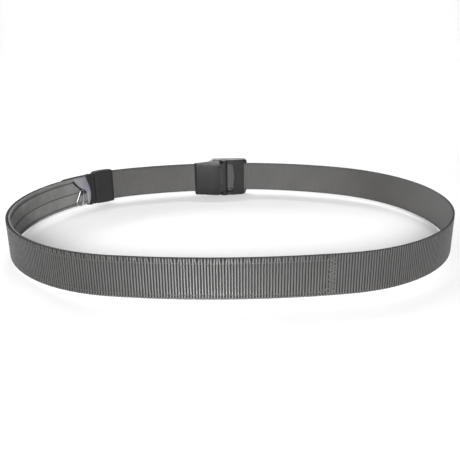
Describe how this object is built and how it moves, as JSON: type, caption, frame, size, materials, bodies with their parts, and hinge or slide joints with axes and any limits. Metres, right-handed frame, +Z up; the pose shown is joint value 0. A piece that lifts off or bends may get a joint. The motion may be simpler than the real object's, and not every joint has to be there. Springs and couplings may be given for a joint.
{
  "type": "money belt",
  "caption": "Webbing waist belt with a cam-lever plastic buckle, a tail keeper, and a thin zipped money pocket along its inner face.",
  "frame": {"origin": "under the middle of the whole belt's box, on the level that the buckle's lower edge stands on", "axes": "+X along the loop's long side, towards the plain webbing; +Y from the pocket front to the buckle; +Z up across the webbing's width"},
  "size_m": [0.3698, 0.2702, 0.039],
  "materials": {
    "webbing": "ribbed polyamide webbing, dark warm grey, slight sheen",
    "buckle_plastic": "moulded acetal, satin black",
    "pin_steel": "blackened steel",
    "black_thread": "twisted polyester thread",
    "grey_thread": "twisted polyester thread",
    "black_elastic": "knitted elastic, smooth",
    "lining": "thin coated pocket cloth",
    "black_binding": "folded woven binding tape",
    "zip_tape": "fine herringbone zip tape",
    "flap_tape": "fine zip tape, folded end",
    "zip_coil": "polyester coil",
    "zip_metal": "die-cast, dark enamel",
    "puller_wire": "bent wire, nickel plated"
  },
  "bodies": {
    "belt": {"webbing_strap": "webbing", "buckle_frame": "buckle_plastic", "pivot_pin": "pin_steel", "fixed_end_stitching": "black_thread", "pocket_lining": "lining", "pocket_end_binding": "black_binding", "binding_stitching": "black_thread", "zip_tape_upper": "zip_tape", "zip_tape_lower": "zip_tape", "zip_coil_upper": "zip_coil", "zip_coil_lower": "zip_coil", "zip_top_stops": "zip_metal", "zip_bottom_stop": "zip_metal", "tape_end_flap": "flap_tape", "stitch_row_upper": "grey_thread", "stitch_row_lower": "grey_thread", "bar_tack": "grey_thread"},
    "lever": {"buckle_lever": "buckle_plastic"},
    "keeper": {"keeper_loop": "black_elastic"},
    "slider": {"zip_slider": "zip_metal"},
    "puller": {"zip_puller": "puller_wire"}
  },
  "joints": [
    {"name": "lever_hinge", "type": "hinge", "parent": "belt", "child": "lever", "pos_m": [-0.00545, 0.12726, 0.0195], "axis": [0, 0, 1], "range_deg": [0, 110]},
    {"name": "keeper_slide", "type": "hinge", "parent": "belt", "child": "keeper", "pos_m": [-0.0598, -0.00492, 0.0195], "axis": [0, 0, 1], "range_deg": [-10.5, 0]},
    {"name": "zip_travel", "type": "hinge", "parent": "belt", "child": "slider", "pos_m": [-0.0598, -0.00492, 0.019], "axis": [0, 0, 1], "range_deg": [0, 118]},
    {"name": "puller_swing", "type": "hinge", "parent": "slider", "child": "puller", "pos_m": [-0.15178, 0.07825, 0.019], "axis": [-0.7314, 0.682, 0], "range_deg": [-30, 90]}
  ]
}
